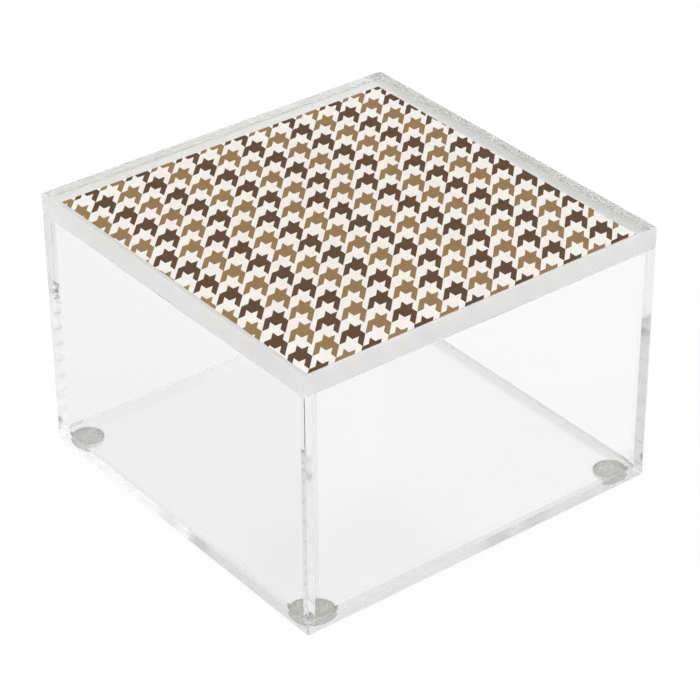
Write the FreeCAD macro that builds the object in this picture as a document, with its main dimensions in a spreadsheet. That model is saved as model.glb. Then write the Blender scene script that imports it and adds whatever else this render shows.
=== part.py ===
"""Clear acrylic storage box with a lift-off lid, built up from solvent-cemented sheet.

Millimetres, +Z up, X to the right and Y to the rear. The origin is under the middle of the box,
on the surface that its four feet stand on.
"""
import FreeCAD, Part
import os

import Sketcher

doc = FreeCAD.newDocument("acrylic_box")

# Driving dimensions
SIZES = (
    ("box_width", 155.0, "outside of the box, left to right"),
    ("box_depth", 155.0, "outside of the box, front to rear"),
    ("body_height", 97.0, "underside of the base to the tops of the walls"),
    ("base_thickness", 5.0, "sheet under the walls"),
    ("wall_thickness", 5.0, "sheet of the four walls"),
    ("edge_round", 0.4, "polished round on every outer edge"),
    ("foot_diameter", 12.7, "top of a foot, where it is stuck on"),
    ("foot_height", 2.0, "foot without its tape"),
    ("foot_taper", 0.5, "how much less the radius is at the bottom of a foot"),
    ("foot_bevel", 0.6, "slanted edge round the bottom of a foot"),
    ("foot_inset", 3.5, "edge of the base to the rim of a foot"),
    ("tape_thickness", 0.2, "adhesive disc between a foot and the base"),
    ("tape_margin", 0.4, "rim of a foot to the rim of its adhesive disc"),
    ("lid_thickness", 8.0, "sheet of the lid, flush with the walls all round"),
    ("print_thickness", 0.4, "printed card under the sheet of the lid"),
    ("print_clearance", 0.2, "card to each wall"),
    ("plate_thickness", 3.0, "sheet under the card that drops inside the walls"),
    ("plate_clearance", 0.5, "plate to each wall"),
    ("plate_corner_round", 2.5, "upright corners of the plate"),
    ("plate_lead_in", 0.8, "chamfer round the lower edge of the plate"),
)
sheet = doc.addObject("Spreadsheet::Sheet", "Sizes")
for row, (alias, value, note) in enumerate(SIZES, start=1):
    sheet.set(f"A{row}", note)
    sheet.set(f"B{row}", str(value))
    sheet.setAlias(f"B{row}", alias)
doc.recompute()

# Levels and spans that several pieces share
base_level = "Sizes.foot_height + Sizes.tape_thickness"
floor_level = f"{base_level} + Sizes.base_thickness"
wall_height = "Sizes.body_height - Sizes.base_thickness"
lid_level = f"{base_level} + Sizes.body_height"
print_level = f"{lid_level} - Sizes.print_thickness"
plate_level = f"{print_level} - Sizes.plate_thickness"
inner_width = "Sizes.box_width - 2 * Sizes.wall_thickness"
inner_depth = "Sizes.box_depth - 2 * Sizes.wall_thickness"

subparts = []


def origin_plane(body, role):
    """One of the three planes through a body's own origin."""
    return next(plane for plane in body.Origin.OriginFeatures if plane.Role == role)


def new_body(label, x, y, z):
    """An empty body at a place given by three expressions."""
    body = doc.addObject("PartDesign::Body", label)
    body.Label = label
    for axis, place in zip("xyz", (x, y, z)):
        body.setExpression(f"Placement.Base.{axis}", place)
    subparts.append(body)
    return body


def new_sketch(body, role, corners):
    """A closed outline of straight sides on one of the body's own planes, still without sizes."""
    sketch = body.newObject("Sketcher::SketchObject", f"{body.Label}_outline")
    sketch.AttachmentSupport = [(origin_plane(body, role), "")]
    sketch.MapMode = "FlatFace"
    points = [FreeCAD.Vector(*corner, 0) for corner in corners]
    for start, end in zip(points, points[1:] + points[:1]):
        sketch.addGeometry(Part.LineSegment(start, end))
    for side in range(len(points)):
        sketch.addConstraint(Sketcher.Constraint("Coincident", side, 2, (side + 1) % len(points), 1))
    return sketch


def set_span(sketch, kind, side, name, size):
    """Binds the run of one side along X or Y to an expression."""
    start = sketch.Geometry[side].StartPoint
    end = sketch.Geometry[side].EndPoint
    run = end.x - start.x if kind == "DistanceX" else end.y - start.y
    number = sketch.addConstraint(Sketcher.Constraint(kind, side, 1, side, 2, run))
    sketch.renameConstraint(number, name)
    sketch.setExpression(f"Constraints.{name}", size)


def panel(label, width, depth, thickness, x, y, z):
    """A square-cut sheet, centred on x and y, whose underside is at z."""
    body = new_body(label, x, y, z)
    sketch = new_sketch(body, "XY_Plane", ((-1, -1), (1, -1), (1, 1), (-1, 1)))
    for side, kind in enumerate(("Horizontal", "Vertical", "Horizontal", "Vertical")):
        sketch.addConstraint(Sketcher.Constraint(kind, side))
    sketch.addConstraint(Sketcher.Constraint("Symmetric", 0, 1, 2, 1, -1, 1))
    set_span(sketch, "DistanceX", 0, "width", width)
    set_span(sketch, "DistanceY", 1, "depth", depth)
    pad = body.newObject("PartDesign::Pad", f"{label}_sheet")
    pad.Profile = sketch
    pad.setExpression("Length", thickness)
    sketch.Visibility = False
    doc.recompute()
    return body


def edges_at(shape, places):
    """Names of the edges at these places: -1, 0 or 1 along each axis for low side, middle, high side."""
    box = shape.BoundBox
    spans = (box.XLength, box.YLength, box.ZLength)
    names = []
    for number, edge in enumerate(shape.Edges, start=1):
        offsets = edge.CenterOfMass - box.Center
        place = tuple(round(2 * offset / span) for offset, span in zip(offsets, spans))
        if place in places:
            names.append(f"Edge{number}")
    return names


def dress(body, kind, name, size_property, size, edges):
    """Adds a fillet or chamfer to these edges of the body's last feature."""
    feature = body.newObject(kind, f"{body.Label}_{name}")
    feature.Base = (feature.BaseFeature or body.Tip, edges)
    feature.setExpression(size_property, size)
    body.Tip = feature
    doc.recompute()


def polish(body, places):
    """Rounds the outer edges at these places, as flame or diamond polishing leaves them."""
    edges = edges_at(body.Tip.Shape, places)
    dress(body, "PartDesign::Fillet", "polish", "Radius", "Sizes.edge_round", edges)


# Base: a full-size sheet that the walls are cemented onto
base = panel("base_panel", "Sizes.box_width", "Sizes.box_depth", "Sizes.base_thickness", "0", "0", base_level)
upright_corners = [(x, y, 0) for x in (-1, 1) for y in (-1, 1)]
under_edges = [(-1, 0, -1), (1, 0, -1), (0, -1, -1), (0, 1, -1)]
polish(base, upright_corners + under_edges)

# Left and right walls run the full depth, so their ends show at the front and rear
for name, side in (("left_wall", -1), ("right_wall", 1)):
    across = f"{side} * (Sizes.box_width - Sizes.wall_thickness) / 2"
    wall = panel(name, "Sizes.wall_thickness", "Sizes.box_depth", wall_height, across, "0", floor_level)
    polish(wall, [(side, -1, 0), (side, 1, 0), (side, 0, 1), (0, -1, 1), (0, 1, 1)])

# Front and rear walls fit between them
for name, side in (("front_wall", -1), ("rear_wall", 1)):
    along = f"{side} * (Sizes.box_depth - Sizes.wall_thickness) / 2"
    wall = panel(name, inner_width, "Sizes.wall_thickness", wall_height, "0", along, floor_level)
    polish(wall, [(0, side, 1)])

# Feet: tapered soft bumpers, each stuck under a corner of the base with an adhesive disc
for corner, side_x, side_y in (
    ("front_left", -1, -1),
    ("front_right", 1, -1),
    ("rear_left", -1, 1),
    ("rear_right", 1, 1),
):
    across = f"{side_x} * (Sizes.box_width / 2 - Sizes.foot_inset - Sizes.foot_diameter / 2)"
    along = f"{side_y} * (Sizes.box_depth / 2 - Sizes.foot_inset - Sizes.foot_diameter / 2)"
    foot = new_body(f"foot_{corner}", across, along, "0")
    profile = new_sketch(foot, "XZ_Plane", ((0, 0), (1, 0), (2, 1), (0, 1)))
    profile.addConstraint(Sketcher.Constraint("Coincident", 0, 1, -1, 1))
    profile.addConstraint(Sketcher.Constraint("Horizontal", 0))
    profile.addConstraint(Sketcher.Constraint("Horizontal", 2))
    profile.addConstraint(Sketcher.Constraint("Vertical", 3))
    set_span(profile, "DistanceX", 0, "sole", "Sizes.foot_diameter / 2 - Sizes.foot_taper")
    set_span(profile, "DistanceX", 1, "taper", "Sizes.foot_taper")
    set_span(profile, "DistanceY", 1, "height", "Sizes.foot_height")
    turned = foot.newObject("PartDesign::Revolution", f"foot_{corner}_turned")
    turned.Profile = profile
    turned.ReferenceAxis = (profile, ["V_Axis"])
    profile.Visibility = False
    doc.recompute()
    sole_edge = edges_at(turned.Shape, [(0, 0, -1)])
    dress(foot, "PartDesign::Chamfer", "bevel", "Size", "Sizes.foot_bevel", sole_edge)

    tape = doc.addObject("Part::Cylinder", f"foot_tape_{corner}")
    tape.Label = f"foot_tape_{corner}"
    tape.setExpression("Radius", "Sizes.foot_diameter / 2 - Sizes.tape_margin")
    tape.setExpression("Height", "Sizes.tape_thickness")
    tape.setExpression("Placement.Base.x", across)
    tape.setExpression("Placement.Base.y", along)
    tape.setExpression("Placement.Base.z", "Sizes.foot_height")
    subparts.append(tape)

# Lid: one thick sheet that lies on the walls, polished all round
lid = panel("lid_panel", "Sizes.box_width", "Sizes.box_depth", "Sizes.lid_thickness", "0", "0", lid_level)
top_edges = [(-1, 0, 1), (1, 0, 1), (0, -1, 1), (0, 1, 1)]
polish(lid, upright_corners + under_edges + top_edges)

# Print: a thin card with a white back, seen through the sheet above it
panel(
    "lid_print",
    f"{inner_width} - 2 * Sizes.print_clearance",
    f"{inner_depth} - 2 * Sizes.print_clearance",
    "Sizes.print_thickness",
    "0",
    "0",
    print_level,
)

# Locating plate: it backs the card, drops inside the walls and keeps the lid in line with them
plate = panel(
    "lid_locating_plate",
    f"{inner_width} - 2 * Sizes.plate_clearance",
    f"{inner_depth} - 2 * Sizes.plate_clearance",
    "Sizes.plate_thickness",
    "0",
    "0",
    plate_level,
)
corners = edges_at(plate.Tip.Shape, upright_corners)
dress(plate, "PartDesign::Fillet", "corners", "Radius", "Sizes.plate_corner_round", corners)
lower_edges = [
    f"Edge{number}"
    for number, edge in enumerate(plate.Tip.Shape.Edges, start=1)
    if edge.BoundBox.ZMax < plate.Tip.Shape.BoundBox.Center.z
]
dress(plate, "PartDesign::Chamfer", "lead_in", "Size", "Sizes.plate_lead_in", lower_edges)

# Every object has to be sound before anything is written
doc.recompute()
for thing in doc.Objects:
    if "Invalid" in thing.State or "Error" in thing.State:
        raise RuntimeError(f"{thing.Label} did not build: {thing.State}")
for subpart in subparts:
    if subpart.Shape.isNull() or not subpart.Shape.isValid() or len(subpart.Shape.Solids) != 1:
        raise RuntimeError(f"{subpart.Label} is not one sound solid")

os.makedirs("parts", exist_ok=True)
for subpart in subparts:
    subpart.Shape.exportStep(f"parts/{subpart.Label}.step")
    box = subpart.Shape.BoundBox
    print(
        f"{subpart.Label}: {subpart.Shape.Volume:.1f} mm3, "
        f"x {box.XMin:.2f} to {box.XMax:.2f}, y {box.YMin:.2f} to {box.YMax:.2f}, z {box.ZMin:.2f} to {box.ZMax:.2f}"
    )
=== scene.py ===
"""Clear acrylic storage box with a printed lift-off lid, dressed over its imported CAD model.

Metres, +Z up. The box stands on the floor at z = 0, with its front towards -Y and its left side towards -X.
"""
import math

import bmesh
import bpy
from mathutils import Matrix, Vector


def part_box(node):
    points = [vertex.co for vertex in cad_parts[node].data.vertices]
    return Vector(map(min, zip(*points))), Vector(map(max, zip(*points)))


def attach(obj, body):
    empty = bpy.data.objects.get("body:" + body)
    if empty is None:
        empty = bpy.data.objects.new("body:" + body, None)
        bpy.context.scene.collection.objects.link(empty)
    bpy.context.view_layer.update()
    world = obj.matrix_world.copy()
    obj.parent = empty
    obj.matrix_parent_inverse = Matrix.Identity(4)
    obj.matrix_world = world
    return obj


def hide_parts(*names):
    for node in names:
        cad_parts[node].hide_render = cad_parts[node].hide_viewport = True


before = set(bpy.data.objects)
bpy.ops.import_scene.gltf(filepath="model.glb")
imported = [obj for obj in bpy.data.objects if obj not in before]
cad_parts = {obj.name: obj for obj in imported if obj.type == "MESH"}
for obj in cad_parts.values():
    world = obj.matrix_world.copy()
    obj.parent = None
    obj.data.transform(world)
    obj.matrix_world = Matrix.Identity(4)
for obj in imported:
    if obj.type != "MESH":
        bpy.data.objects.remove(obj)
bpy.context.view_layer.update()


# Base: a full-size sheet of clear cast acrylic, sawn to size, with its outer edges eased. The walls stand on it
# in solvent cement. Its edges show all round, satin at front and rear and clearer at left and right, and its
# floor is dulled by what has been kept in the box and carries a painted shadow along the right-hand wall.
acrylic_index = 1.49
sheet_tint = (0.988, 0.99, 0.987, 1.0)
edge_tint = (0.91, 0.915, 0.908, 1.0)
face_rough = (0.0, 0.02)
edge_rough = (0.1, 0.14)
floor_rough = (0.18, 0.22)
inner_floor_rough = 0.09
face_grain = 90.0
edge_grain = 400.0
mark_start = 0.55
mark_full = 0.8
mirror_from = 0.9


def node(tree, kind, inputs=None, **settings):
    """Adds a node. Each input is a plain value or another node's output."""
    made = tree.nodes.new(kind)
    for name, value in settings.items():
        setattr(made, name, value)
    for socket, value in (inputs or {}).items():
        if isinstance(value, bpy.types.NodeSocket):
            tree.links.new(value, made.inputs[socket])
        else:
            made.inputs[socket].default_value = value
    return made


def new_material(name):
    """A material with its Principled shader, and Object coordinates to paint by."""
    material = bpy.data.materials.new(name)
    material.use_nodes = True
    tree = material.node_tree
    place = node(tree, "ShaderNodeTexCoord").outputs["Object"]
    return material, tree, tree.nodes["Principled BSDF"], place


def noise(tree, place, grain, detail):
    """Fine cloudy marks from 0 to 1, grain of them to the metre."""
    return node(tree, "ShaderNodeTexNoise", {"Vector": place, "Scale": grain, "Detail": detail}).outputs[0]


def rescale(tree, value, start, end, low, high, **settings):
    """Carries a value that runs from start to end over to the span from low to high."""
    spans = {"Value": value, "From Min": start, "From Max": end, "To Min": low, "To Max": high}
    return node(tree, "ShaderNodeMapRange", spans, **settings).outputs[0]


def mix_numbers(tree, share, first, second):
    """A number between two others."""
    return node(tree, "ShaderNodeMix", {0: share, 2: first, 3: second}, data_type="FLOAT").outputs[0]


def mix_colours(tree, share, first, second):
    """A colour between two others."""
    return node(tree, "ShaderNodeMix", {0: share, 6: first, 7: second}, data_type="RGBA").outputs[2]


def turned_back(tree):
    """1 where light in the sheet meets a face at such a slant that it is turned back, and otherwise 0."""
    mirrors = node(tree, "ShaderNodeFresnel", {"IOR": acrylic_index}).outputs[0]
    return node(tree, "ShaderNodeMath", {0: mirrors, 1: mirror_from}, operation="GREATER_THAN").outputs[0]


def clear_acrylic(name, tint, rough, grain, inner_rough=None):
    """Clear acrylic with its gloss broken by fine marks. Light turned back inside keeps inner_rough, if given."""
    material, tree, shader, place = new_material(name)
    marks = noise(tree, place, grain, detail=4.0)
    gloss = rescale(tree, marks, mark_start, mark_full, *rough)
    if inner_rough is not None:
        gloss = mix_numbers(tree, turned_back(tree), gloss, inner_rough)
    tree.links.new(gloss, shader.inputs["Roughness"])
    shader.inputs["Base Color"].default_value = tint
    shader.inputs["Transmission Weight"].default_value = 1.0
    shader.inputs["IOR"].default_value = acrylic_index
    return material


cast_face = clear_acrylic("cast_acrylic_face", sheet_tint, face_rough, face_grain)
satin_edge = clear_acrylic("satin_acrylic_edge", edge_tint, edge_rough, edge_grain)
clear_edge = clear_acrylic("polished_acrylic_edge", sheet_tint, edge_rough, edge_grain)

# Sanding clouds the wall tops, the upright corners of the base and the edges of the lid
sanded_top_tint = (0.85, 0.85, 0.835, 1.0)
sanded_rough = (0.8, 1.0)
sanded_inner_rough = 0.16
sanded_clear_share = 0.45
sanding_grain = 900.0


def sanded_acrylic(name, tint):
    """Acrylic clouded by sanding. It still turns light back inside the sheet as a polished face does."""
    material, tree, shader, place = new_material(name)
    scratches = noise(tree, place, sanding_grain, detail=4.0)
    grit = rescale(tree, scratches, 0.0, 1.0, *sanded_rough)
    mirrors = turned_back(tree)
    gloss = mix_numbers(tree, mirrors, grit, sanded_inner_rough)
    clear_share = mix_numbers(tree, mirrors, sanded_clear_share, 1.0)
    tree.links.new(gloss, shader.inputs["Roughness"])
    tree.links.new(clear_share, shader.inputs["Transmission Weight"])
    shader.inputs["Base Color"].default_value = tint
    shader.inputs["IOR"].default_value = acrylic_index
    return material


sanded_top = sanded_acrylic("sanded_acrylic_top", sanded_top_tint)

# Cement welds the joined faces into one piece, so light goes straight through them, but for a trace of haze and
# a few fine bubbles. The joint under the front wall is the haziest.
bubble_grain = 700.0
bubble_start = 0.6
bubble_full = 0.75


def cement_seam(name, most_clear, least_clear):
    """A welded joint, which lets through between these shares of the light."""
    material, tree, shader, place = new_material(name)
    bubbles = noise(tree, place, bubble_grain, detail=2.0)
    haze = rescale(tree, bubbles, bubble_start, bubble_full, most_clear, least_clear)
    seam = node(tree, "ShaderNodeBsdfTransparent", {"Color": haze}).outputs[0]
    tree.links.new(seam, tree.nodes["Material Output"].inputs["Surface"])
    tree.nodes.remove(shader)
    return material


clean_seam = cement_seam("clean_cement_seam", most_clear=0.98, least_clear=0.94)
hazy_seam = cement_seam("hazy_cement_seam", most_clear=0.93, least_clear=0.87)

# Painted shadow: a soft grey band painted on the floor of the box along the right-hand joint, standing in for the
# table's shadow under the right wall seen through the base
inner_x = -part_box("left_wall")[1].x
inner_y = -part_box("front_wall")[1].y
painted_shadow_tint = (0.74, 0.74, 0.73, 1.0)
painted_shadow_start = inner_x - 0.0048
painted_shadow_full = inner_x - 0.0016
# The floor's roughness is its wear; its grey band by the right wall is painted shadow.
worn_floor_with_painted_shadow = clear_acrylic("worn_acrylic_face_painted_shadow", sheet_tint, floor_rough, edge_grain, inner_floor_rough)
painted_shadow_tree = worn_floor_with_painted_shadow.node_tree
painted_shadow_place = painted_shadow_tree.nodes["Texture Coordinate"].outputs["Object"]
painted_shadow_x = node(painted_shadow_tree, "ShaderNodeSeparateXYZ", {0: painted_shadow_place}).outputs["X"]
painted_shadow = rescale(painted_shadow_tree, painted_shadow_x, painted_shadow_start, painted_shadow_full, 0.0, 1.0, interpolation_type="SMOOTHSTEP")
painted_shadow_colour = mix_colours(painted_shadow_tree, painted_shadow, sheet_tint, painted_shadow_tint)
painted_shadow_tree.links.new(painted_shadow_colour, painted_shadow_tree.nodes["Principled BSDF"].inputs["Base Color"])

edge_round = 0.0004
round_steps = 4
flat = 0.99
upright = 0.01


def cut_sheet(name, node_name, top_gap=0.0):
    """A block the size of a CAD sheet, with its place in its mesh."""
    low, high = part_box(node_name)
    high.z -= top_gap
    bpy.ops.object.select_all(action="DESELECT")
    bpy.ops.mesh.primitive_cube_add(size=1, location=(low + high) / 2)
    piece = bpy.context.object
    piece.name = name
    piece.scale = high - low
    bpy.ops.object.transform_apply(location=True, rotation=True, scale=True)
    return piece


def round_edges(piece, places, radius, steps):
    """Rounds a block's edges at these places: -1, 0 or 1 along each axis for low side, middle, high side."""
    corners = [vertex.co for vertex in piece.data.vertices]
    low = Vector(min(corner[axis] for corner in corners) for axis in range(3))
    high = Vector(max(corner[axis] for corner in corners) for axis in range(3))
    bpy.ops.object.mode_set(mode="EDIT")
    bpy.ops.mesh.select_all(action="DESELECT")
    mesh = bmesh.from_edit_mesh(piece.data)
    for edge in mesh.edges:
        offset = (edge.verts[0].co + edge.verts[1].co - low - high) / 2
        place = tuple(round(2 * offset[axis] / (high[axis] - low[axis])) for axis in range(3))
        edge.select_set(place in places)
    bmesh.update_edit_mesh(piece.data)
    bpy.ops.mesh.bevel(offset=radius, segments=steps, profile=0.5, affect="EDGES")
    bpy.ops.object.mode_set(mode="OBJECT")


def select_facing(piece, outward):
    """Selects the flat faces that look outward, in edit mode."""
    bpy.ops.mesh.select_all(action="DESELECT")
    mesh = bmesh.from_edit_mesh(piece.data)
    for face in mesh.faces:
        face.select_set(face.normal.dot(Vector(outward)) > flat)
    bmesh.update_edit_mesh(piece.data)


def score(piece, outward, cuts):
    """Splits the face that looks outward along each cut, given as a point and the direction across it."""
    bpy.ops.object.mode_set(mode="EDIT")
    for point, across in cuts:
        select_facing(piece, outward)
        bpy.ops.mesh.bisect(plane_co=point, plane_no=across)
    bpy.ops.object.mode_set(mode="OBJECT")


def seam_at(face):
    """The cement on a joined face."""
    under_front = face.center.y < -inner_y and abs(face.center.x) < inner_x
    return hazy_seam if under_front and abs(face.normal.z) > flat else clean_seam


def finish_sheet(piece, node_name, body, finish_of):
    """Gives each face the finish that finish_of(face) names, and puts the sheet in its CAD node's place."""
    for face in piece.data.polygons:
        finish = finish_of(face)
        if finish.name not in piece.data.materials:
            piece.data.materials.append(finish)
        face.material_index = piece.data.materials.find(finish.name)
    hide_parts(node_name)
    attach(piece, body)


def base_finish(face):
    """Cement under the walls, a worn floor with painted shadow, clear or satin edges, and sanded upright corners."""
    if face.normal.z > flat:
        under_wall = abs(face.center.x) > inner_x or abs(face.center.y) > inner_y
        return seam_at(face) if under_wall else worn_floor_with_painted_shadow
    if face.normal.z < -flat:
        return cast_face
    if abs(face.normal.x) > flat:
        return clear_edge
    on_corner = abs(face.normal.z) < upright and abs(face.normal.y) < flat
    return sanded_top if on_corner else satin_edge


upright_corners = [(x, y, 0) for x in (-1, 1) for y in (-1, 1)]
under_edges = [(-1, 0, -1), (1, 0, -1), (0, -1, -1), (0, 1, -1)]
base = cut_sheet("base_sheet", "base_panel")
round_edges(base, upright_corners + under_edges, edge_round, round_steps)
inner_lines = [((side * inner_x, 0, 0), (1, 0, 0)) for side in (-1, 1)]
inner_lines += [((0, side * inner_y, 0), (0, 1, 0)) for side in (-1, 1)]
score(base, (0, 0, 1), inner_lines)
finish_sheet(base, "base_panel", "box", base_finish)


# Walls: four sheets of the same acrylic, standing on the base. The left and right ones run the full depth,
# and the front and rear ones are cemented between them. Their top edges are sanded, and the lid lies dry on them.
dry_gap = 0.00004


def wall_finish(face, thin_axis, joined):
    """Cement where the wall is joined, a sanded top, cast faces across its thickness, and satin edges."""
    if joined:
        return seam_at(face)
    if face.normal.z > flat:
        return sanded_top
    return cast_face if abs(face.normal[thin_axis]) > flat else satin_edge


for name, side in (("left_wall", -1), ("right_wall", 1)):
    wall = cut_sheet(f"{name}_sheet", name, dry_gap)
    outer_edges = [(side, -1, 0), (side, 1, 0), (side, 0, 1), (0, -1, 1), (0, 1, 1)]
    round_edges(wall, outer_edges, edge_round, round_steps)
    score(wall, (-side, 0, 0), [((0, end * inner_y, 0), (0, 1, 0)) for end in (-1, 1)])
    finish_sheet(
        wall,
        name,
        "box",
        lambda face: wall_finish(
            face,
            thin_axis=0,
            joined=face.normal.z < -flat or (face.normal.x * -side > flat and abs(face.center.y) > inner_y),
        ),
    )
for name, side in (("front_wall", -1), ("rear_wall", 1)):
    wall = cut_sheet(f"{name}_sheet", name, dry_gap)
    round_edges(wall, [(0, side, 1)], edge_round, round_steps)
    finish_sheet(
        wall,
        name,
        "box",
        lambda face: wall_finish(
            face,
            thin_axis=1,
            joined=face.normal.z < -flat or abs(face.normal.x) > flat,
        ),
    )


# Feet: soft bumpers of translucent grey rubber, moulded with a tapered side, one under each corner of the base.
# One is modelled and the others are copies of it.
foot_grey = (0.84, 0.84, 0.82, 1.0)
foot_pale = (0.9, 0.9, 0.88, 1.0)
speckle_grain = 1800.0
foot_corners = ("front_left", "front_right", "rear_left", "rear_right")
foot_sides = 96
foot_taper = 0.0005
foot_round = 0.0006
smooth_angle = math.radians(35)

rubber, rubber_tree, rubber_shader, rubber_place = new_material("foot_rubber")
speckle = noise(rubber_tree, rubber_place, speckle_grain, detail=3.0)
rubber_colour = mix_colours(rubber_tree, speckle, foot_grey, foot_pale)
rubber_tree.links.new(rubber_colour, rubber_shader.inputs["Base Color"])
rubber_shader.inputs["Roughness"].default_value = 0.4
rubber_shader.inputs["Transmission Weight"].default_value = 0.9


def turned_disc(node_name, rise=0.0):
    """A disc the size of a round CAD node, with its top raised by rise, and its place in its mesh."""
    low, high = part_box(node_name)
    high.z += rise
    bpy.ops.object.select_all(action="DESELECT")
    bpy.ops.mesh.primitive_cylinder_add(
        vertices=foot_sides, radius=(high.x - low.x) / 2, depth=high.z - low.z, location=(low + high) / 2
    )
    bpy.ops.object.transform_apply(location=True, rotation=True, scale=True)
    return bpy.context.object


def at_each_corner(disc, node_name):
    """The disc, which is at the first corner, and a copy of it with its own mesh at each of the others."""
    first_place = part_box(f"{node_name}_{foot_corners[0]}")[0]
    discs = [disc]
    for corner in foot_corners[1:]:
        copy = disc.copy()
        copy.data = disc.data.copy()
        copy.data.transform(Matrix.Translation(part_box(f"{node_name}_{corner}")[0] - first_place))
        bpy.context.collection.objects.link(copy)
        discs.append(copy)
    return zip(foot_corners, discs)


first_foot = f"foot_{foot_corners[0]}"
bumper = turned_disc(first_foot)
low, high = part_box(first_foot)
sole_share = 1 - foot_taper / ((high.x - low.x) / 2)
bpy.ops.object.mode_set(mode="EDIT")
select_facing(bumper, (0, 0, -1))
bpy.ops.transform.resize(value=(sole_share, sole_share, 1), center_override=(low + high) / 2)
bpy.ops.mesh.bevel(offset=foot_round, segments=round_steps, profile=0.5, affect="EDGES")
bpy.ops.object.mode_set(mode="OBJECT")
bpy.ops.object.shade_smooth_by_angle(angle=smooth_angle)
bumper.data.materials.append(rubber)
for corner, foot in at_each_corner(bumper, "foot"):
    foot.name = f"bumper_{corner}"
    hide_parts(f"foot_{corner}")
    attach(foot, "box")


# Adhesive discs: thin double-sided pads between the feet and the base. Where the adhesive has wetted the
# acrylic it shows from every side, and between those patches a film of air is left.
wet_grey = (0.86, 0.86, 0.83, 1.0)
wet_pale = (0.95, 0.95, 0.92, 1.0)
patch_grain = 900.0
patch_start = 0.4
patch_full = 0.6
least_wetted = 0.22
most_wetted = 0.5
streak_grain = 2500.0
wetting_depth = 0.00002

adhesive, adhesive_tree, adhesive_shader, adhesive_place = new_material("foot_adhesive")
patches = noise(adhesive_tree, adhesive_place, patch_grain, detail=5.0)
wetted = rescale(adhesive_tree, patches, patch_start, patch_full, least_wetted, most_wetted)
streaks = noise(adhesive_tree, adhesive_place, streak_grain, detail=2.0)
adhesive_colour = mix_colours(adhesive_tree, streaks, wet_grey, wet_pale)
adhesive_tree.links.new(adhesive_colour, adhesive_shader.inputs["Base Color"])
adhesive_tree.links.new(wetted, adhesive_shader.inputs["Alpha"])
adhesive_shader.inputs["Roughness"].default_value = 0.7

first_pad = turned_disc(f"foot_tape_{foot_corners[0]}", wetting_depth)
bpy.ops.object.shade_smooth_by_angle(angle=smooth_angle)
first_pad.data.materials.append(adhesive)
for corner, pad in at_each_corner(first_pad, "foot_tape"):
    pad.name = f"adhesive_{corner}"
    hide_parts(f"foot_tape_{corner}")
    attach(pad, "box")


# Lid sheet: one thick sheet of the same acrylic, flush with the walls, with every edge eased and sanded.
# It lies dry on the walls' top edges, and the printed card is seen through it.
sanded_edge_tint = (0.915, 0.937, 0.958, 1.0)
sanded_edge = sanded_acrylic("sanded_acrylic_edge", sanded_edge_tint)
top_edges = [(-1, 0, 1), (1, 0, 1), (0, -1, 1), (0, 1, 1)]
lid_sheet = cut_sheet("lid_sheet", "lid_panel")
round_edges(lid_sheet, upright_corners + under_edges + top_edges, edge_round, round_steps)
finish_sheet(
    lid_sheet, "lid_panel", "lid", lambda face: cast_face if abs(face.normal.z) > flat else sanded_edge
)


# Locating plate: a thinner sheet that backs the card, drops inside the walls and keeps the lid in line.
# Its corners are rounded and its lower edge is chamfered to lead it in.
plate_corner_round = 0.0025
corner_steps = 8
plate_lead_in = 0.0008
plate = cut_sheet("locating_plate_sheet", "lid_locating_plate")
round_edges(plate, upright_corners, plate_corner_round, corner_steps)
bpy.ops.object.mode_set(mode="EDIT")
select_facing(plate, (0, 0, -1))
bpy.ops.mesh.bevel(offset=plate_lead_in, segments=1, affect="EDGES")
bpy.ops.object.mode_set(mode="OBJECT")
finish_sheet(
    plate, "lid_locating_plate", "lid", lambda face: cast_face if abs(face.normal.z) > flat else satin_edge
)


# Print: a thin white card with a two-colour houndstooth check, stuck by its face to the lid sheet and by its
# back to the locating plate.
check_width = 0.01105
check_height = 0.01125
check_first_row = 0.01396
check_first_column = 0.00942
repeat_rows = 6
repeat_shift = 0.00755
row_shifts = (0.0, 0.0015, 0.0012, 0.00275, 0.00365, 0.0052)
longest_shift = 0.01
motif_halves = 2.0
tooth_width = 0.5
dark_ink = (0.121, 0.066, 0.036, 1.0)
tan_ink = (0.32, 0.2, 0.091, 1.0)
bare_card = (0.95, 0.91, 0.87, 1.0)
least_ink = 0.94
ink_mottle = 0.12
least_print_rough = 0.42
print_rough_spread = 0.2
print_grain = 1500.0

printed, print_tree, print_shader, print_place = new_material("printed_check")
print_axes = node(print_tree, "ShaderNodeSeparateXYZ", {0: print_place}).outputs


def sum_of(operation, first, second=0.0):
    """One step of arithmetic in the print's own node tree."""
    return node(print_tree, "ShaderNodeMath", {0: first, 1: second}, operation=operation).outputs[0]


def at_least(value, limit):
    """1 where value is limit or more, and otherwise 0."""
    return sum_of("SUBTRACT", 1.0, sum_of("LESS_THAN", value, limit))


def split_motifs(halves):
    """The number of the motif that a count of halves falls in, and how far into it that is."""
    motif = sum_of("FLOOR", sum_of("DIVIDE", halves, motif_halves))
    return motif, sum_of("SUBTRACT", halves, sum_of("MULTIPLY", motif, motif_halves))


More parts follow.
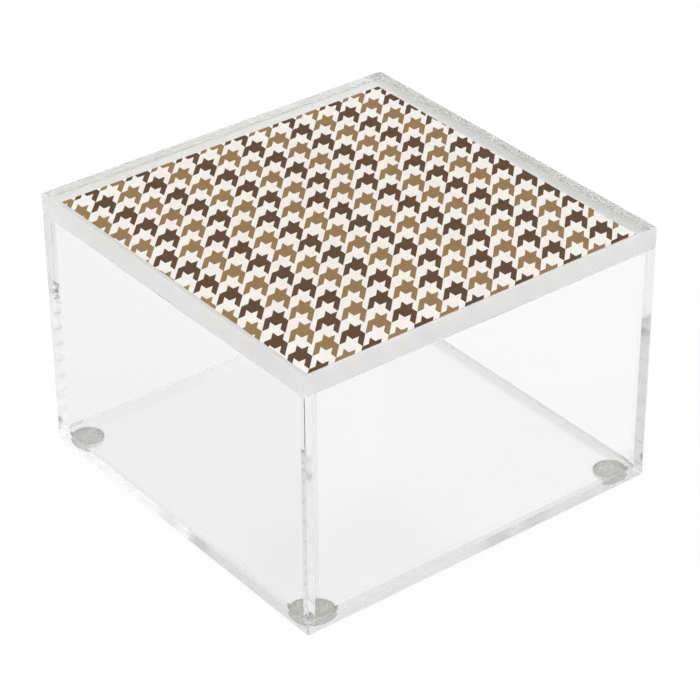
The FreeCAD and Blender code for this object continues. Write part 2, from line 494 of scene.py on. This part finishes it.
def check_columns(row):
    """Where a point lies along a row's motifs, in half widths from one motif, and the motif's colour number."""
    count = sum_of("SUBTRACT", 1.0, row)
    repeat = sum_of("FLOOR", sum_of("DIVIDE", count, repeat_rows))
    within = sum_of("SUBTRACT", count, sum_of("MULTIPLY", repeat, repeat_rows))
    mid_row = sum_of("ADD", within, 0.5)
    ramp = node(print_tree, "ShaderNodeValToRGB", {0: sum_of("DIVIDE", mid_row, repeat_rows)})
    ramp.color_ramp.interpolation = "CONSTANT"
    while len(ramp.color_ramp.elements) < repeat_rows:
        ramp.color_ramp.elements.new(1.0)
    for number, shift in enumerate(row_shifts):
        ramp.color_ramp.elements[number].position = number / repeat_rows
        grey = shift / longest_shift
        ramp.color_ramp.elements[number].color = (grey, grey, grey, 1.0)
    shift = sum_of("MULTIPLY", ramp.outputs[0], longest_shift)
    shift = sum_of("ADD", shift, sum_of("MULTIPLY", repeat, repeat_shift))
    shift = sum_of("ADD", shift, check_first_column)
    halves = sum_of("DIVIDE", sum_of("SUBTRACT", print_axes["X"], shift), check_width / 2)
    column, along = split_motifs(halves)
    return along, sum_of("ADD", column, repeat)


rise = sum_of("DIVIDE", sum_of("SUBTRACT", print_axes["Y"], check_first_row - check_height), check_height / 2)
row, height = split_motifs(rise)
along, number = check_columns(row)
along_above, number_above = check_columns(sum_of("ADD", row, 1.0))

# The lower half of a row: the square of the motif, the tooth on its right and the tail of the next motif
in_square = sum_of("LESS_THAN", along, 1.0)
beside = sum_of("SUBTRACT", 1.0, in_square)
lean = sum_of("SUBTRACT", sum_of("SUBTRACT", along, 1.0), height)
right_tooth = sum_of("MULTIPLY", beside, sum_of("LESS_THAN", lean, -tooth_width))
left_tail = sum_of("MULTIPLY", at_least(lean, 0.0), sum_of("LESS_THAN", lean, tooth_width))
left_tail = sum_of("MULTIPLY", beside, left_tail)
lower_ink = sum_of("MAXIMUM", in_square, sum_of("MAXIMUM", right_tooth, left_tail))
lower_number = sum_of("ADD", number, left_tail)

# The upper half: the tooth on top of the motif, and the tail that hangs from the row above
above = sum_of("SUBTRACT", height, 1.0)
top_tooth = sum_of("MULTIPLY", in_square, at_least(sum_of("SUBTRACT", along, above), tooth_width))
hang = sum_of("SUBTRACT", along_above, above)
hanging_tail = sum_of("MULTIPLY", at_least(hang, -tooth_width), sum_of("LESS_THAN", hang, 0.0))
hanging_tail = sum_of("MULTIPLY", hanging_tail, sum_of("LESS_THAN", along_above, 1.0))
upper_ink = sum_of("MAXIMUM", top_tooth, hanging_tail)
from_above = sum_of("MULTIPLY", hanging_tail, sum_of("SUBTRACT", number_above, number))
upper_number = sum_of("ADD", number, from_above)

in_lower = sum_of("LESS_THAN", height, 1.0)
ink = sum_of("ADD", upper_ink, sum_of("MULTIPLY", in_lower, sum_of("SUBTRACT", lower_ink, upper_ink)))
from_lower = sum_of("MULTIPLY", in_lower, sum_of("SUBTRACT", lower_number, upper_number))
number = sum_of("ADD", upper_number, from_lower)
is_dark = sum_of("GREATER_THAN", sum_of("FLOORED_MODULO", number, 2.0), 0.5)
ink_colour = mix_colours(print_tree, is_dark, tan_ink, dark_ink)
check_colour = mix_colours(print_tree, ink, bare_card, ink_colour)
fibres = noise(print_tree, print_place, print_grain, detail=6.0)
mottle = sum_of("ADD", least_ink, sum_of("MULTIPLY", fibres, ink_mottle))
check_colour = node(
    print_tree, "ShaderNodeMix", {0: 1.0, 6: check_colour, 7: mottle}, data_type="RGBA", blend_type="MULTIPLY"
).outputs[2]
print_tree.links.new(check_colour, print_shader.inputs["Base Color"])
print_rough = sum_of("ADD", least_print_rough, sum_of("MULTIPLY", fibres, print_rough_spread))
print_tree.links.new(print_rough, print_shader.inputs["Roughness"])
print_shader.inputs["Specular IOR Level"].default_value = 0.0

# The back and edges of the card are bare
card_back = (0.87, 0.87, 0.86, 1.0)
card_shade = tuple(channel * 0.94 for channel in card_back[:3]) + (1.0,)
card_grain = 1200.0
card, card_tree, card_shader, card_place = new_material("white_card")
card_fibres = noise(card_tree, card_place, card_grain, detail=6.0)
card_colour = mix_colours(card_tree, card_fibres, card_shade, card_back)
card_tree.links.new(card_colour, card_shader.inputs["Base Color"])
card_shader.inputs["Roughness"].default_value = 0.7

bond_depth = 0.00002
lid_print = cut_sheet("printed_card", "lid_print")
bpy.ops.object.mode_set(mode="EDIT")
for side in (-1, 1):
    select_facing(lid_print, (0, 0, side))
    bpy.ops.transform.translate(value=(0, 0, side * bond_depth))
bpy.ops.object.mode_set(mode="OBJECT")
lid_print.data.materials.append(printed)
lid_print.data.materials.append(card)
for face in lid_print.data.polygons:
    face.material_index = 0 if face.normal.z > flat else 1
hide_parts("lid_print")
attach(lid_print, "lid")


# Floor and light: a pale studio table under a wide soft lamp, with light all round.
# Camera and see-through rays find most of the floor white, and the rest of it takes the shadow. Mirror rays find it
# dimmer, with painted shade that darkens it towards the left.
white = (1.0, 1.0, 1.0, 1.0)
floor_size = 12
floor_colour = (0.96, 0.96, 0.96, 1.0)
floor_white_share = 0.95
clear_white_share = 0.975
# Painted shade: the floor's glow as seen in mirrors, dim at the left and brighter towards the front
left_mirror_shade = 0.2
mirrored_front = 0.7
mirrored_left_end = -0.1
mirrored_front_start = -0.06
bpy.ops.object.select_all(action="DESELECT")
bpy.ops.mesh.primitive_plane_add(size=floor_size)
floor = bpy.context.object
floor.name = "floor"
paper, paper_tree, paper_shader, paper_place = new_material("studio_paper")
paper_shader.inputs["Base Color"].default_value = floor_colour
paper_shader.inputs["Roughness"].default_value = 0.9
paper_shader.inputs["Specular IOR Level"].default_value = 0.0


def seen_by(tree, *kinds):
    """1 for rays of these kinds, and otherwise 0."""
    path = node(tree, "ShaderNodeLightPath").outputs
    seen = path[kinds[0]]
    for kind in kinds[1:]:
        seen = node(tree, "ShaderNodeMath", {0: seen, 1: path[kind]}, operation="MAXIMUM").outputs[0]
    return seen


# Painted shade: in mirrors the floor's glow dims towards the left.
table_x = node(paper_tree, "ShaderNodeSeparateXYZ", {0: paper_place}).outputs["X"]
mirror_painted_shade = rescale(
    paper_tree, table_x, mirrored_left_end, mirrored_front_start, left_mirror_shade, mirrored_front
)
table_level = mix_numbers(paper_tree, seen_by(paper_tree, "Is Reflection Ray"), 1.0, mirror_painted_shade)
white_table = node(paper_tree, "ShaderNodeEmission", {"Color": white, "Strength": table_level}).outputs[0]
open_rays = seen_by(paper_tree, "Is Camera Ray")
open_share = node(paper_tree, "ShaderNodeMath", {0: open_rays, 1: floor_white_share}, operation="MULTIPLY").outputs[0]
clear_rays = seen_by(paper_tree, "Is Glossy Ray", "Is Transmission Ray")
white_share = node(
    paper_tree, "ShaderNodeMath", {0: clear_rays, 1: clear_white_share, 2: open_share}, operation="MULTIPLY_ADD"
).outputs[0]
table = node(paper_tree, "ShaderNodeMixShader", {0: white_share, 1: paper_shader.outputs[0], 2: white_table})
paper_tree.links.new(table.outputs[0], paper_tree.nodes["Material Output"].inputs["Surface"])
floor.data.materials.append(paper)

# The room: pale walls that dim a little upwards, a bright ceiling, and a lit front. Mirrored, it is dimmer.
# Each fade is a span of the sine of the height above the horizon, or of the cosine of the angle to the front.
room_level = 1.0
upper_wall_level = 0.8
ceiling_level = 2.74
mirrored_level = 0.15
front_light = 1.4
high_front_share = 0.6
front_azimuth = math.radians(38)
wall_fade = (0.12, 0.3)
ceiling_fade = (0.65, 0.8)
front_fade = (0.45, 0.75)
high_front_fade = (0.3, 0.5)
world = bpy.data.worlds.new("studio")
bpy.context.scene.world = world
world.use_nodes = True
air = world.node_tree
sky = node(air, "ShaderNodeTexCoord").outputs["Generated"]
upward = node(air, "ShaderNodeSeparateXYZ", {0: sky}).outputs["Z"]
wall_part = rescale(air, upward, *wall_fade, 1.0, upper_wall_level)
ceiling_part = rescale(air, upward, *ceiling_fade, 0.0, ceiling_level - upper_wall_level)
studio = node(air, "ShaderNodeMath", {0: wall_part, 1: ceiling_part}, operation="ADD").outputs[0]
front_way = (math.sin(front_azimuth), -math.cos(front_azimuth), 0.0)
facing = node(air, "ShaderNodeVectorMath", {0: sky, 1: front_way}, operation="DOT_PRODUCT").outputs["Value"]
front_part = rescale(air, facing, *front_fade, 0.0, front_light)
front_share = rescale(air, upward, *high_front_fade, 1.0, high_front_share)
studio = node(
    air, "ShaderNodeMath", {0: front_part, 1: front_share, 2: studio}, operation="MULTIPLY_ADD"
).outputs[0]
mirrored = rescale(air, upward, *wall_fade, 1.0, mirrored_level)
studio = mix_numbers(air, seen_by(air, "Is Reflection Ray"), studio, mirrored)
seen = seen_by(air, "Is Camera Ray", "Is Glossy Ray", "Is Transmission Ray")
level = mix_numbers(air, seen, room_level, studio)
background = air.nodes["Background"]
background.inputs["Color"].default_value = white
air.links.new(level, background.inputs["Strength"])

lamp_size = 1.4
lamp_power = 3.0
lamp_place = Vector((-0.5, -0.4, 1.5))
bpy.ops.object.light_add(type="AREA", location=lamp_place)
lamp = bpy.context.object
lamp.name = "soft_lamp"
lamp.data.size = lamp_size
lamp.data.energy = lamp_power
lamp.rotation_euler = lamp_place.to_track_quat("Z", "Y").to_euler()


# Camera: a long lens from the front left, looking down on the lid. The middle of the picture lies above the
# middle of the base by aim_rise, measured along the picture's own upright.
picture_pixels = 700
focal_pixels = 2809.0
sensor_width = 36.0
azimuth = math.radians(-37.87)
elevation = math.radians(32.31)
roll = math.radians(-0.35)
camera_distance = 1.04796
aim_rise = 0.03923
aim_aside = 0.00098
back = Vector(
    (
        math.sin(azimuth) * math.cos(elevation),
        -math.cos(azimuth) * math.cos(elevation),
        math.sin(elevation),
    )
)
level_right = Vector((0, 0, 1)).cross(back).normalized()
level_up = back.cross(level_right)
right = math.cos(roll) * level_right + math.sin(roll) * level_up
up = math.cos(roll) * level_up - math.sin(roll) * level_right
aim = Vector((0, 0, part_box("base_panel")[0].z)) + aim_rise * up + aim_aside * right
bpy.ops.object.camera_add()
camera = bpy.context.object
camera.name = "camera"
camera.data.sensor_width = sensor_width
camera.data.lens = sensor_width * focal_pixels / picture_pixels
turn = Matrix((right, up, back)).transposed().to_4x4()
camera.matrix_world = Matrix.Translation(aim + camera_distance * back) @ turn
scene = bpy.context.scene
scene.camera = camera
scene.view_settings.view_transform = "Standard"

# Light is followed through as many sheets and inner reflections as the box can put in its way
sheet_bounces = 40
gloss_bounces = 24
scene.cycles.max_bounces = sheet_bounces
scene.cycles.transmission_bounces = sheet_bounces
scene.cycles.glossy_bounces = gloss_bounces
scene.cycles.transparent_max_bounces = sheet_bounces
